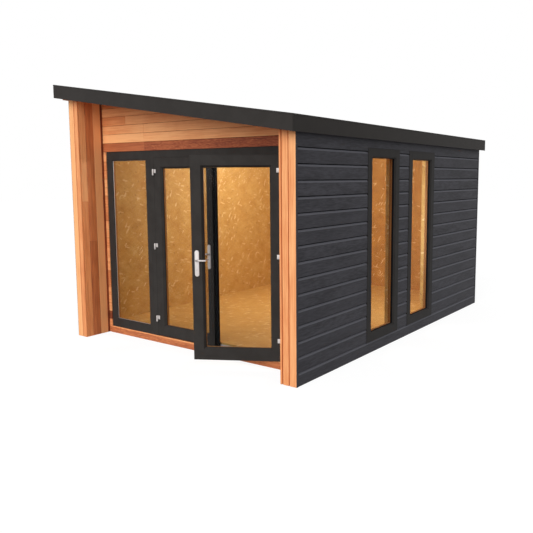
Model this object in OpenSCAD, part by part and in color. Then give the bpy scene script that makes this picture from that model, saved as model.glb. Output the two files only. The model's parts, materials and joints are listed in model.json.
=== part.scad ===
// Garden office pod: a hollow timber room under a single-slope roof, high on the left and low on the
// right. Two side fins frame a porch with a glazed door set of one fixed side light and two leaves.
// Millimetres. X runs to the right along the front, Y to the back, Z up. The origin lies on the ground
// at the middle of the body's footprint.

/* [Body] */
// Width over the outer faces of the side walls, unless the door set needs more
pod_w = 3200; // [3120:10:4200]
// Depth from the fronts of the fins to the outer face of the back wall
pod_d = 4450; // [3400:10:6000]
// How far the front wall stands back between the fins
porch_d = 323; // [200:1:600]
// Width of the left fin, seen from the front
left_fin_w = 153; // [130:1:220]
// Width of the right fin, seen from the front
right_fin_w = 182; // [130:1:220]
// Height of the floor above the ground
floor_h = 120; // [92:1:140]

/* [Walls] */
// Thickness of the boards on the outside of the walls
clad_t = 20; // [14:1:30]
// Thickness of the insulated timber frame in the walls
stud_t = 105; // [50:1:150]
// Thickness of the strand board lining
lining_t = 12; // [9:1:18]
// Gap between the ground and the lowest cladding board
clad_lift = 4; // [2:1:20]

/* [Roof] */
// Height of the roof edge on the low side, unless the windows or the door set need more
eaves_low = 2387; // [2340:1:2600]
// Height of the roof edge on the high side, which rises with the low one
eaves_high = 2893; // [2600:1:3100]
// Roof overhang in front of the fins
overhang_front = 110; // [60:1:250]
// Roof overhang behind the back wall
overhang_back = 100; // [60:1:250]
// Roof overhang at the high side
overhang_left = 112; // [40:1:250]
// Roof overhang at the low side
overhang_right = 52; // [40:1:250]
// Height of the fascia, with the kerb on its top
fascia_h = 148; // [130:1:200]
// Thickness of the fascia boards
fascia_t = 22; // [15:1:35]
// Height of the kerb round the roof edge
kerb_h = 20; // [12:1:40]
// How far the kerb stands above the roof covering
kerb_up = 8; // [3:1:11]
// Thickness of the roof panel with its covering
roof_t = 84; // [60:1:90]
// Thickness of the soffit boards
soffit_t = 12; // [9:1:20]

/* [Door set] */
// Cedar strip between the left fin and the door set
left_strip_w = 45; // [20:1:90]
// How far the door set stands behind the cedar face of the front wall
frame_setback = 10; // [4:1:30]
// Depth of the door frame from front to back
frame_d = 76; // [72:1:100]
// Height of the cedar sill plate under the door set
sill_h = 76; // [60:1:84]
// Chamfer along the front edge of the sill plate
sill_chamfer = 9; // [4:1:9]
// Height of the door set
set_h = 2074; // [1950:1:2500]
// Width of the fixed side light
side_light_w = 749; // [500:1:1000]
// Face width of the side light's top and bottom bars
side_bar_w = 90; // [60:1:110]
// Face width of the side light's bar next to the fin
side_bar_left_w = 82; // [60:1:110]
// Face width of the side light's bar next to the door
side_bar_door_w = 55; // [40:1:90]
// Face width of the left door jamb
jamb_w = 62; // [50:1:90]
// Face width of the right door jamb
right_jamb_w = 92; // [60:1:120]
// Face width of the door head
head_w = 73; // [50:1:110]
// Width of the stop behind the leaves
stop_w = 18; // [14:1:22]

/* [Door leaves] */
// Width of one leaf
leaf_w = 880; // [700:1:1100]
// How much narrower the left leaf is than the right one
left_less = 11; // [0:1:40]
// Thickness of a leaf
leaf_t = 56; // [50:1:60]
// Face width of the stiles on the hinge side
stile_w = 103; // [80:1:120]
// Face width of the right leaf's stile where the leaves meet
meeting_stile_w = 110; // [80:1:130]
// Face width of the left leaf's stile where the leaves meet
left_meeting_stile_w = 80; // [75:1:130]
// Face width of the top rail
top_rail_h = 102; // [80:1:130]
// Face width of the bottom rail
bottom_rail_h = 110; // [90:1:180]
// Gap between a leaf and the frame round it
leaf_gap = 7; // [5:1:9]
// Height of the threshold bar over the sill
threshold_h = 24; // [10:1:40]
// Gap under a leaf
foot_gap = 8; // [6:1:14]
// Thickness of the lip behind the gap where the leaves meet
lip_t = 20; // [10:1:40]
// Gap between the two leaves where they meet
meeting_gap = 38; // [10:1:60]
// How far the right leaf stands open
rest_open = 29.5; // [0:0.5:60]

/* [Glazing] */
// Width of the sloping glazing bead
bead_w = 16; // [8:1:24]
// Thickness of the sealed glass units
glass_t = 20; // [14:1:20]
// How deep the glass sits in the bars on every side
glass_bite = 10; // [5:1:15]
// How far the glass of a leaf lies behind its face
leaf_recess = 28; // [10:1:28]
// How far the side light's glass lies behind its face
side_recess = 9; // [5:1:40]
// How far a window's glass lies behind its face
window_recess = 40; // [10:1:45]
// How far the bars of fixed glazing reach behind their glass
back_bead = 16; // [8:1:16]

/* [Windows] */
// Distance from the fin fronts to the first window
window_start = 1237; // [600:1:1500]
// Width of a window
window_w = 696; // [400:1:720]
// Height of a window
window_h = 2035; // [800:1:2450]
// Height of the window sills above the ground
window_sill = 121; // [115:1:140]
// Length of wall between the two windows
window_gap = 248; // [100:1:400]
// Face width of the window bars
window_bar_w = 83; // [50:1:110]
// How far the window reveals lie in from the edges of the window frames
reveal_inset = 49; // [30:1:99]
// How far the windows stand out from the cladding
window_proud = 5; // [0:1:15]

/* [Hardware] */
// Radius of the hinge knuckles
knuckle_r = 9; // [6:1:9]
// How far the hinge axis stands in front of the leaf
hinge_proud = 14; // [14:1:20]
// How far the hinge axis lies beside the leaf
hinge_beside = 4; // [3:1:12]
// Height of a hinge
hinge_h = 66; // [60:1:110]
// Width of the hinge flag on the leaf
flag_w = 43; // [30:1:70]
// Height of the hinge flag on the leaf
flag_h = 42; // [20:1:50]
// Thickness of the hinge flag
flag_t = 7; // [6:1:10]
// Distance of the outer hinges from the ends of a leaf
hinge_inset = 175; // [100:1:300]
// How far the hinges sit above an even spacing
hinge_rise = 17; // [0:1:40]
// Distance of a spindle from the meeting edge of its leaf
backset = 51; // [40:1:70]
// Height of the levers above the ground
lever_z = 1064; // [900:1:1100]
// Length of a lever from its spindle
lever_l = 94; // [80:1:130]
// How far a lever stands out from the leaf
lever_out = 50; // [40:1:60]
// Radius of the lever's neck
lever_r = 9; // [6:1:10]
// Radius of the spindle through the leaf
spindle_r = 7; // [5:1:8]
// Width of the handle plates
plate_w = 43; // [36:1:60]
// Height of the handle plates
plate_h = 254; // [200:1:260]
// Thickness of the handle plates
plate_t = 9; // [5:1:12]
// Distance from the spindle up to the top of a handle plate
plate_up = 98; // [60:1:110]
// Distance from the spindle down to the lock cylinder
lock_down = 92; // [70:1:110]

/* [Hidden] */
$fn = 48;
through = 5;
thin = 0.01;
spindle_clear = 0.4;
collar_clear = 0.5;
collar_rim = 4;
collar_h = 8;
lever_taper = 2;
lock_r = 8.5;
lock_out = 3;
knuckle_clear = 0.5;
flag_root = 2;
seat_gap = 0.2;
stop_gap = 6;
meeting_clear = 10;
strip_least = 36;
cover_least = 36;
window_count = 2;
hinge_count = 3;

// Places across the body, which is as wide as the fins, strips and door set between them need
left_leaf_w = leaf_w - left_less;
set_w = side_light_w + jamb_w + 2 * leaf_gap + left_leaf_w + meeting_gap + leaf_w + right_jamb_w;
half_w = max(pod_w, left_fin_w + left_strip_w + set_w + strip_least + right_fin_w) / 2;
core_x = half_w - clad_t;
stud_x = core_x - stud_t;
room_x = stud_x - lining_t;
fin_l = -half_w + left_fin_w;
fin_r = half_w - right_fin_w;

// Places along the depth
front_y = -pod_d / 2;
back_y = pod_d / 2;
wall_y = front_y + porch_d;
frame_y = wall_y + frame_setback;
frame_back_y = frame_y + frame_d;
room_front_y = frame_back_y + lining_t;
back_core_y = back_y - clad_t;
back_stud_y = back_core_y - stud_t;
room_back_y = back_stud_y - lining_t;

// Roof edges, the height that tall openings add, and the height of the roof's top edge above any x
roof_l = -half_w - overhang_left;
roof_r = half_w + overhang_right;
roof_f = front_y - overhang_front;
roof_b = back_y + overhang_back;
pitch = (eaves_high - eaves_low) / (roof_r - roof_l);
panel_under = kerb_up + roof_t;
under_roof = panel_under + seat_gap;
under_soffit = under_roof + soffit_t;
under_fascia = fascia_h + seat_gap;
set_top = sill_h + set_h;
openings_top = max(set_top, window_sill + window_h);
lift = max(0, openings_top + cover_least + fascia_h - eaves_low);
function roof_z(x) = eaves_low + lift + (roof_r - x) * pitch;

// Door set, from left to right
set_l = fin_l + left_strip_w;
set_r = set_l + set_w;
side_r = set_l + side_light_w;
door_l = side_r + jamb_w;
leaf_l = door_l + leaf_gap;
leaf_r = leaf_l + left_leaf_w + meeting_gap + leaf_w;
door_r = leaf_r + leaf_gap;
leaf_bottom = sill_h + foot_gap;
leaf_top = set_top - head_w - leaf_gap;
leaf_h = leaf_top - leaf_bottom;
stop_y = frame_y + leaf_t + stop_gap;
stop_top = set_top - head_w - stop_w;

// Depths of the fixed frames and the backs of the window frames
side_d = side_recess + glass_t + back_bead;
window_d = window_recess + glass_t + back_bead;
reveal_x = half_w + window_proud - window_d;
function window_y(i) = front_y + window_start + i * (window_w + window_gap);

// Hinge axes, hinges and lever spindles
axis_y = frame_y - hinge_proud;
left_axis_x = leaf_l - hinge_beside;
right_axis_x = leaf_r + hinge_beside;
hinge_gap = (leaf_h - 2 * hinge_inset) / (hinge_count - 1);
function spindle_x(w) = hinge_beside + w - backset;

// Box between two values on each axis
module block(x, y, z)
    translate([x[0], y[0], z[0]])
        cube([x[1] - x[0], y[1] - y[0], z[1] - z[0]]);

// Sweeps a profile drawn in X and Z along the depth
module along_depth(y)
    translate([0, y[1], 0])
        rotate([90, 0, 0])
            linear_extrude(y[1] - y[0])
                children();

// Sweeps a profile drawn in Y and Z along the width
module along_width(x)
    translate([x[0], 0, 0])
        rotate([90, 0, 90])
            linear_extrude(x[1] - x[0])
                children();

// Profile between two depths under the roof's top edge
module roof_band(x, upper, lower)
    polygon([
        [x[0], roof_z(x[0]) - lower],
        [x[1], roof_z(x[1]) - lower],
        [x[1], roof_z(x[1]) - upper],
        [x[0], roof_z(x[0]) - upper]
    ]);

// Profile from a level up to a depth under the roof's top edge
module wall_face(x, z, lower)
    polygon([
        [x[0], z],
        [x[1], z],
        [x[1], roof_z(x[1]) - lower],
        [x[0], roof_z(x[0]) - lower]
    ]);

// Places one copy at the near bottom corner of each window
module at_windows()
    for (i = [0 : window_count - 1])
        translate([half_w + window_proud, window_y(i), window_sill])
            children();

// Box at each window between two values of x, set in from the window's edges on every side
module window_boxes(x, inset)
    for (i = [0 : window_count - 1])
        block(x, [window_y(i) + inset, window_y(i) + window_w - inset],
            [window_sill + inset, window_sill + window_h - inset]);

// Clear size inside four bars
function inside(size, a, b) = size - a - b;

// Frame of four bars round a pane, with a sloping bead in front of the glass. Its outer face lies at
// y = 0 and its lower left corner at the origin. The bars are listed as left, right, bottom, top.
module sash(w, h, bars, depth, recess) {
    clear_w = inside(w, bars[0], bars[1]);
    clear_h = inside(h, bars[2], bars[3]);
    difference() {
        cube([w, depth, h]);
        translate([bars[0] + bead_w, -through, bars[2] + bead_w])
            cube([clear_w - 2 * bead_w, depth + 2 * through, clear_h - 2 * bead_w]);
        hull() {
            translate([bars[0], -through, bars[2]])
                cube([clear_w, through, clear_h]);
            translate([bars[0] + bead_w, recess - thin, bars[2] + bead_w])
                cube([clear_w - 2 * bead_w, thin, clear_h - 2 * bead_w]);
        }
        sash_pane(w, h, bars, recess);
    }
}

// Sealed glass unit that fills the rebate of a sash
module sash_pane(w, h, bars, recess) {
    edge = bead_w - glass_bite;
    translate([bars[0] + edge, recess, bars[2] + edge])
        cube([
            inside(w, bars[0], bars[1]) - 2 * edge,
            glass_t,
            inside(h, bars[2], bars[3]) - 2 * edge
        ]);
}

// Upright cylinder
module post(r, z, h)
    translate([0, 0, z])
        cylinder(r = r, h = h);

// Cylinder along the depth
module bar_y(r, y)
    translate([0, y[1], 0])
        rotate([90, 0, 0])
            cylinder(r = r, h = y[1] - y[0]);

// Hangs a leaf's pieces on the left hinge axis
module hang_left()
    translate([left_axis_x, axis_y, 0])
        children();

// Hangs a leaf's pieces on the right hinge axis, open as far as it stands at rest
module hang_right()
    translate([right_axis_x, axis_y, 0])
        rotate([0, 0, rest_open])
            mirror([1, 0, 0])
                children();

// Places one copy at the foot of each hinge on an axis
module at_hinges()
    for (i = [0 : hinge_count - 1])
        translate([0, 0, leaf_bottom + hinge_inset + hinge_rise + i * hinge_gap - hinge_h / 2])
            children();

left_leaf_bars = [stile_w, left_meeting_stile_w, bottom_rail_h, top_rail_h];
right_leaf_bars = [stile_w, meeting_stile_w, bottom_rail_h, top_rail_h];

// Leaf of a width, with its hinge axis at x = 0 and y = 0, bored for the spindle
module leaf(w, bars)
    difference() {
        translate([hinge_beside, hinge_proud, leaf_bottom])
            sash(w, leaf_h, bars, leaf_t, leaf_recess);
        translate([spindle_x(w), 0, lever_z])
            bar_y(spindle_r + spindle_clear, [0, hinge_proud + leaf_t + through]);
    }

// Lip behind the meeting edge of the left leaf, which closes most of the gap to the right one
module meeting_lip()
    block([hinge_beside + left_leaf_w - thin, hinge_beside + left_leaf_w + meeting_gap - meeting_clear],
        [hinge_proud + leaf_t - lip_t, hinge_proud + leaf_t], [leaf_bottom, leaf_top]);

module leaf_glass(w, bars)
    translate([hinge_beside, hinge_proud, leaf_bottom])
        sash_pane(w, leaf_h, bars, leaf_recess);

// Upper knuckle of each hinge, with the flag that is screwed to the leaf
module leaf_hinges()
    at_hinges() {
        post(knuckle_r, hinge_h - flag_h, flag_h);
        block([flag_root, hinge_beside + flag_w], [hinge_proud - flag_t, hinge_proud],
            [hinge_h - flag_h, hinge_h]);
    }

// Lower knuckle of each hinge, with the lug that fixes it to the jamb
module jamb_hinges()
    at_hinges() {
        post(knuckle_r, 0, hinge_h - flag_h - knuckle_clear);
        block([-knuckle_r, -thin], [0, hinge_proud], [0, hinge_h - flag_h - knuckle_clear]);
    }

// One long plate with round ends, with its back at y = 0
module handle_plate()
    difference() {
        union() {
            block([-plate_w / 2, plate_w / 2], [-plate_t, 0],
                [plate_up - plate_h + plate_w / 2, plate_up - plate_w / 2]);
            for (z = [plate_up - plate_h + plate_w / 2, plate_up - plate_w / 2])
                translate([0, 0, z])
                    bar_y(plate_w / 2, [-plate_t, 0]);
            translate([0, 0, -lock_down])
                bar_y(lock_r, [-plate_t - lock_out, 0]);
        }
        bar_y(spindle_r + spindle_clear, [-plate_t - through, through]);
    }

module handle_plates(w)
    translate([spindle_x(w), hinge_proud, lever_z]) {
        handle_plate();
        translate([0, leaf_t, 0])
            mirror([0, 1, 0])
                handle_plate();
    }

// Collar, neck and tapered arm of one lever, pointing to the hinge side
module lever_arm() {
    bar_y(lever_r + collar_rim, [-plate_t - collar_clear - collar_h, -plate_t - collar_clear]);
    bar_y(lever_r, [-lever_out, -plate_t - collar_clear]);
    translate([0, -lever_out, 0]) {
        sphere(r = lever_r);
        rotate([0, -90, 0])
            cylinder(r1 = lever_r, r2 = lever_r - lever_taper, h = lever_l - lever_r);
        translate([lever_r - lever_l, 0, 0])
            sphere(r = lever_r - lever_taper);
    }
}

// Two levers on one spindle
module lever(w)
    translate([spindle_x(w), hinge_proud, lever_z]) {
        bar_y(spindle_r, [-plate_t - collar_h, leaf_t + plate_t + collar_h]);
        lever_arm();
        translate([0, leaf_t, 0])
            mirror([0, 1, 0])
                lever_arm();
    }

// Insulated floor between the walls
module floor_deck()
    color("burlywood")
        block([-stud_x, stud_x], [frame_back_y, back_stud_y], [0, floor_h]);

module left_wall()
    color("tan")
        along_depth([wall_y, back_core_y])
            wall_face([-core_x, -stud_x], 0, under_roof);

// Wall with a rebate round each window, which the window's frame stands in
module right_wall()
    color("tan")
        difference() {
            along_depth([wall_y, back_core_y])
                wall_face([stud_x, core_x], 0, under_roof);
            window_boxes([reveal_x, half_w], 0);
            window_boxes([0, half_w], reveal_inset - lining_t);
        }

module back_wall()
    color("tan")
        along_depth([back_stud_y, back_core_y])
            wall_face([-stud_x, stud_x], 0, under_roof);

// Cladding on the outside, behind the cedar fronts of the fins
module left_cladding()
    color("dimgray")
        along_depth([front_y + clad_t, back_core_y])
            wall_face([-half_w, -core_x], clad_lift, under_roof);

module right_cladding()
    color("dimgray")
        difference() {
            along_depth([front_y + clad_t, back_core_y])
                wall_face([core_x, half_w], clad_lift, under_roof);
            window_boxes([0, half_w + through], 0);
        }

module back_cladding()
    color("dimgray")
        along_depth([back_core_y, back_y])
            wall_face([-half_w, half_w], clad_lift, under_roof);

// Strand board on the inside
module left_lining()
    color("goldenrod")
        along_depth([frame_back_y, back_stud_y])
            wall_face([-stud_x, -room_x], floor_h, under_roof);

// Lining that turns into the window reveals, up to the backs of the window frames
module right_lining()
    color("goldenrod")
        difference() {
            union() {
                along_depth([frame_back_y, back_stud_y])
                    wall_face([room_x, stud_x], floor_h, under_roof);
                window_boxes([room_x, reveal_x], reveal_inset - lining_t);
            }
            window_boxes([0, half_w], reveal_inset);
        }

module back_lining()
    color("goldenrod")
        along_depth([room_back_y, back_stud_y])
            wall_face([-room_x, room_x], floor_h, under_roof);

module front_lining()
    color("goldenrod")
        difference() {
            along_depth([frame_back_y, room_front_y])
                wall_face([-room_x, room_x], floor_h, under_roof);
            block([set_l, set_r], [wall_y, room_front_y + through], [0, set_top]);
        }

module ceiling_lining()
    color("goldenrod")
        along_depth([room_front_y, room_back_y])
            roof_band([-room_x, room_x], under_roof, under_roof + lining_t);

// Fin with a cedar front board that covers the ends of the side cladding
module fin(x, front_x) {
    along_depth([front_y, wall_y])
        wall_face(x, 0, under_roof);
    along_depth([front_y, front_y + clad_t])
        wall_face(front_x, 0, under_roof);
}

module left_fin()
    color("peru")
        fin([-core_x, fin_l], [-half_w, -core_x]);

module right_fin()
    color("peru")
        fin([fin_r, core_x], [core_x, half_w]);

// Cedar wall over the door set
module front_header()
    color("peru")
        along_depth([wall_y, frame_back_y])
            wall_face([-stud_x, stud_x], set_top, under_roof);

module left_strip()
    color("peru")
        block([-stud_x, set_l], [wall_y, frame_back_y], [sill_h, set_top]);

module right_strip()
    color("peru")
        block([set_r, stud_x], [wall_y, frame_back_y], [sill_h, set_top]);

// Plate under the door set, chamfered along its front edge
module sill_plate()
    color("peru")
        along_width([-stud_x, stud_x])
            polygon([
                [wall_y, 0],
                [frame_back_y, 0],
                [frame_back_y, sill_h],
                [wall_y + sill_chamfer, sill_h],
                [wall_y, sill_h - sill_chamfer]
            ]);

module roof_panel()
    color("darkslategray")
        along_depth([roof_f + fascia_t, roof_b - fascia_t])
            roof_band([roof_l + fascia_t, roof_r - fascia_t], kerb_up, panel_under);

// Kerb that covers the tops of the four fascias
module roof_kerb()
    color("black")
        difference() {
            along_depth([roof_f, roof_b])
                roof_band([roof_l, roof_r], 0, kerb_h - seat_gap);
            along_depth([roof_f + fascia_t, roof_b - fascia_t])
                roof_band([roof_l + fascia_t, roof_r - fascia_t], -through, kerb_h + through);
        }

module front_fascia()
    color("darkslategray")
        along_depth([roof_f, roof_f + fascia_t])
            roof_band([roof_l, roof_r], kerb_h, fascia_h);

module back_fascia()
    color("darkslategray")
        along_depth([roof_b - fascia_t, roof_b])
            roof_band([roof_l, roof_r], kerb_h, fascia_h);

module left_fascia()
    color("darkslategray")
        along_depth([roof_f + fascia_t, roof_b - fascia_t])
            roof_band([roof_l, roof_l + fascia_t], kerb_h, fascia_h);

module right_fascia()
    color("darkslategray")
        along_depth([roof_f + fascia_t, roof_b - fascia_t])
            roof_band([roof_r - fascia_t, roof_r], kerb_h, fascia_h);

// Boards under the front of the roof: before the fins, and over the porch between them
module porch_soffit()
    color("peru") {
        along_depth([roof_f + fascia_t, front_y])
            roof_band([roof_l + fascia_t, roof_r - fascia_t], under_roof, under_soffit);
        along_depth([front_y, wall_y])
            roof_band([fin_l, fin_r], under_roof, under_soffit);
    }

// Boards under the other three edges of the roof. On the left they are fixed under the fascia, and
// short boards close the box above them at the front and beside the back soffit.
module eaves_soffits()
    color("peru") {
        along_depth([front_y, roof_b - fascia_t])
            roof_band([roof_l, -half_w], under_fascia, under_fascia + soffit_t);
        along_depth([front_y, front_y + soffit_t])
            roof_band([roof_l + fascia_t, -half_w], under_soffit, under_fascia + thin);
        along_depth([front_y, roof_b - fascia_t])
            roof_band([half_w, roof_r - fascia_t], under_roof, under_soffit);
        along_depth([back_y, roof_b - fascia_t])
            roof_band([-half_w - soffit_t, -half_w + thin], under_roof, under_fascia + thin);
        along_depth([back_y, roof_b - fascia_t])
            roof_band([-half_w, half_w], under_roof, under_soffit);
    }

side_bars = [side_bar_left_w, side_bar_door_w, side_bar_w, side_bar_w];

module side_light_frame()
    color("dimgray")
        translate([set_l, frame_y, sill_h])
            sash(side_light_w, set_h, side_bars, side_d, side_recess);

module side_light_glass()
    color("lightblue", 0.4)
        translate([set_l, frame_y, sill_h])
            sash_pane(side_light_w, set_h, side_bars, side_recess);

// Head of the door frame, with a stop behind the leaves
module door_head()
    color("dimgray")
        along_width([door_l, door_r])
            polygon([
                [frame_y, set_top],
                [frame_y, set_top - head_w],
                [stop_y, set_top - head_w],
                [stop_y, stop_top],
                [frame_back_y, stop_top],
                [frame_back_y, set_top]
            ]);

// Jamb of the door frame, with its stop on the right up to the stop of the head
module jamb(w) {
    block([-w, 0], [frame_y, frame_back_y], [sill_h, set_top]);
    block([-thin, stop_w], [stop_y, frame_back_y], [sill_h, stop_top]);
}

module door_left_jamb()
    color("dimgray")
        translate([door_l, 0, 0])
            jamb(jamb_w);

module door_right_jamb()
    color("dimgray")
        translate([door_r, 0, 0])
            mirror([1, 0, 0])
                jamb(right_jamb_w);

// Low bar behind the foot of the leaves, in front of the floor
module threshold()
    color("dimgray")
        block([door_l + stop_w, door_r - stop_w], [stop_y, frame_back_y], [sill_h, sill_h + threshold_h]);

module frame_hinges()
    color("silver") {
        translate([left_axis_x, axis_y, 0])
            jamb_hinges();
        translate([right_axis_x, axis_y, 0])
            mirror([1, 0, 0])
                jamb_hinges();
    }

window_bars = [window_bar_w, window_bar_w, window_bar_w, window_bar_w];

module window_frames()
    color("dimgray")
        at_windows()
            rotate([0, 0, 90])
                sash(window_w, window_h, window_bars, window_d, window_recess);

module window_glass()
    color("lightblue", 0.4)
        at_windows()
            rotate([0, 0, 90])
                sash_pane(window_w, window_h, window_bars, window_recess);

module left_leaf()
    color("dimgray")
        hang_left() {
            leaf(left_leaf_w, left_leaf_bars);
            meeting_lip();
        }
module left_leaf_glass() color("lightblue", 0.4) hang_left() leaf_glass(left_leaf_w, left_leaf_bars);
module left_leaf_hinges() color("silver") hang_left() leaf_hinges();
module left_handle_plates() color("silver") hang_left() handle_plates(left_leaf_w);
module left_lever() color("silver") hang_left() lever(left_leaf_w);

module right_leaf() color("dimgray") hang_right() leaf(leaf_w, right_leaf_bars);
module right_leaf_glass() color("lightblue", 0.4) hang_right() leaf_glass(leaf_w, right_leaf_bars);
module right_leaf_hinges() color("silver") hang_right() leaf_hinges();
module right_handle_plates() color("silver") hang_right() handle_plates(leaf_w);
module right_lever() color("silver") hang_right() lever(leaf_w);

floor_deck();
left_wall();
right_wall();
back_wall();
left_cladding();
right_cladding();
back_cladding();
left_lining();
right_lining();
back_lining();
front_lining();
ceiling_lining();
left_fin();
right_fin();
front_header();
left_strip();
right_strip();
sill_plate();
roof_panel();
roof_kerb();
front_fascia();
back_fascia();
left_fascia();
right_fascia();
porch_soffit();
eaves_soffits();
side_light_frame();
side_light_glass();
door_head();
door_left_jamb();
door_right_jamb();
threshold();
frame_hinges();
window_frames();
window_glass();
left_leaf();
left_leaf_glass();
left_leaf_hinges();
left_handle_plates();
left_lever();
right_leaf();
right_leaf_glass();
right_leaf_hinges();
right_handle_plates();
right_lever();
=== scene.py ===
# Garden office pod: boards, glazed door set, windows, roof edge and hardware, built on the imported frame.
import json
import math
import random

import bmesh
import bpy
from bmesh.types import BMEdge, BMVert
from mathutils import Matrix, Vector


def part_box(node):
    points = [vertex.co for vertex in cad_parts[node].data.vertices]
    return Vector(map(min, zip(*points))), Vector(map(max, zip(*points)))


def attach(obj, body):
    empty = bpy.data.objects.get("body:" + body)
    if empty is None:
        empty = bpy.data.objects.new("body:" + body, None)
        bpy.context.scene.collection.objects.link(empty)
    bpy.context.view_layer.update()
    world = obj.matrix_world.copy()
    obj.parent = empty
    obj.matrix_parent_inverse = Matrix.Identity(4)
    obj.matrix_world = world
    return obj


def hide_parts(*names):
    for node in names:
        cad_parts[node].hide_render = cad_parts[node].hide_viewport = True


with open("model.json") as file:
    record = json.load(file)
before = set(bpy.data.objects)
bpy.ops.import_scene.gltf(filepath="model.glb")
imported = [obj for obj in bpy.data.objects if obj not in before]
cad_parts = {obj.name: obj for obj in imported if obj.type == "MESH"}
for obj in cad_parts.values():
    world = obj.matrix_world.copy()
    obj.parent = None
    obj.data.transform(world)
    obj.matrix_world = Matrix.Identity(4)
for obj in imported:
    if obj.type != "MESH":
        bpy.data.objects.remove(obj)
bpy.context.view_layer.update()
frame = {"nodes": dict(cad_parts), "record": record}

MM = 0.001
MERGE = 0.01 * MM
X, Y, Z = range(3)
scene = bpy.context.scene
random.seed(11)


# Places taken from the frame

def corners(node):
    """Lowest and highest corner of a node."""
    return [Vector(corner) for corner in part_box(node)]


def low(node):
    return corners(node)[0]


def high(node):
    return corners(node)[1]


joints = {joint["name"]: joint for joint in frame["record"]["behaviour"]["joints"]}
left_axis = Vector(joints["left_door_hinge"]["pos_m"])
right_axis = Vector(joints["right_door_hinge"]["pos_m"])
left_spindle = Vector(joints["left_lever_turn"]["pos_m"])
rest_open = math.radians(-joints["right_door_hinge"]["range_deg"][0])

left_x = low("left_fin").x
right_x = high("right_fin").x
front_y = low("left_fin").y
wall_y = high("left_fin").y
back_y = high("back_cladding").y
fin_l = high("left_fin").x
fin_r = low("right_fin").x
set_top = low("front_header").z

# Roof edge
FASCIA_H = 148 * MM
FASCIA_T = high("left_fascia").x - low("left_fascia").x
FASCIA_EDGE = 1.5 * MM
KERB_H = 20 * MM
SEAT_GAP = 0.2 * MM
SOFFIT_T = 12 * MM
SOFFIT_ROW = 95 * MM
EAVES_ROW = 200 * MM
SOFFIT_TONES = (0.3, 0.75)
roof_l, roof_f = low("roof_kerb").xy
roof_r, roof_b = high("roof_kerb").xy
roof_low = low("right_fascia").z + FASCIA_H
roof_high = high("roof_kerb").z
pitch = (roof_high - roof_low) / (roof_r - roof_l)


def roof_z(x):
    """Height of the roof's top edge above any x."""
    return roof_low + (roof_r - x) * pitch


under_roof = roof_z(left_x) - high("left_cladding").z
slope_normal = Vector((pitch, 0, 1)).normalized()

# Dark boards
CLAD_T = 18 * MM
CLAD_PITCH = 142.4 * MM
CLAD_FIRST_JOINT = low("window_frames").z
CLAD_GAP = 8 * MM
CLAD_BEVEL_H = 19 * MM
CLAD_BEVEL_D = 10 * MM
CLAD_CHAMFER = 1.5 * MM
CLAD_TONGUE_D = 16 * MM
CLAD_TONES = (0.55, 1.0)

# Cedar boards, on cores that lie behind their faces
CEDAR_T = 20 * MM
CEDAR_GROOVE = 3 * MM
CEDAR_EDGE = 1.5 * MM
CEDAR_ROW = 98.5 * MM
END_GAP = 0.5 * MM
CORE_BACK = 14 * MM
CORE_LAP = 8 * MM
CORE_CLEAR = 3 * MM
CORE_TONE = 0.1
CUT_SPARE = 20 * MM
FIGURED_BELOW = 0.3
FIN_JOINTS = (-2129 * MM, -2025 * MM, -1927 * MM)
STRIP_FIRST_JOINT = 161 * MM
STRIP_TONES = (0.9, 0.82, 0.74, 0.6, 0.86)

# Door set and windows: bars are given left, right, bottom and top, a slope by its start and its depth
BEAD_W = 16 * MM
GLASS_T = 20 * MM
GLASS_BITE = 10 * MM
PANE_T = 4 * MM
LEAF_W = {"left": 869 * MM, "right": 880 * MM}
LEAF_BARS = {
    "left": (103 * MM, 80 * MM, 110 * MM, 102 * MM),
    "right": (103 * MM, 104 * MM, 110 * MM, 102 * MM),
}
LEAF_RECESS = 28 * MM
LEAF_SLOPE = (-4 * MM, 22 * MM)
LIP_T = 20 * MM
SIDE_BARS = (82 * MM, 59 * MM, 90 * MM, 90 * MM)
SIDE_RECESS = 9 * MM
SIDE_SLOPE = (0, 5 * MM)
SIDE_BRIGHT = 5 * MM
WINDOW_BARS = (83 * MM,) * 4
WINDOW_RECESS = 40 * MM
WINDOW_SLOPE = (0, 18 * MM)
WINDOW_W = 696 * MM
FRAME_EDGE = 2 * MM
STOP_W = 18 * MM
SEAL_D = 4 * MM
SEAL_BACK = 1.5 * MM
SEAL_CLEAR = 0.6 * MM
window_low, window_high = corners("window_frames")
window_starts = (window_low.y, window_high.y - WINDOW_W)
leaf_at = low("left_leaf") - Vector((left_axis.x, left_axis.y, 0))
leaf_size = high("left_leaf") - low("left_leaf")
leaf_top = high("left_leaf").z
lip_w = leaf_size.x - LEAF_W["left"]
leaf_gap = low("left_leaf").x - (high("door_left_jamb").x - STOP_W)
stop_y = low("threshold").y
stop_foot = low("door_head").z

# Hardware
KNUCKLE_R = 9 * MM
KNUCKLE_CLEAR = 0.5 * MM
HINGE_H = 66 * MM
FLAG_H = 42 * MM
FLAG_W = {"left": 31 * MM, "right": 52 * MM}
FLAG_T = 7 * MM
FLAG_ROOT = 2 * MM
FLAG_SCREWS = (0.28, 0.72)
SCREW_R = 4 * MM
SCREW_PROUD = 1.2 * MM
SCREW_INSET = 11 * MM
PLATE_W = 43 * MM
PLATE_H = 254 * MM
PLATE_T = 9 * MM
PLATE_UP = 98 * MM
PLATE_EDGE = 3 * MM
LOCK_R = 8.5 * MM
LOCK_PROUD = 3 * MM
LOCK_DOWN = 92 * MM
KEYWAY = Vector((1, 0.2, 5)) * MM
COLLAR_R = 13 * MM
COLLAR_H = 8 * MM
COLLAR_CLEAR = 0.5 * MM
NECK_IN = 4 * MM
LEVER_R = 9 * MM
LEVER_OUT = 50 * MM
LEVER_L = 94 * MM
LEVER_BEND = 14 * MM
LEVER_TAPER = ((0.96, 0.78), (0.04, 0.55))
BACKSET = 51 * MM
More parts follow.
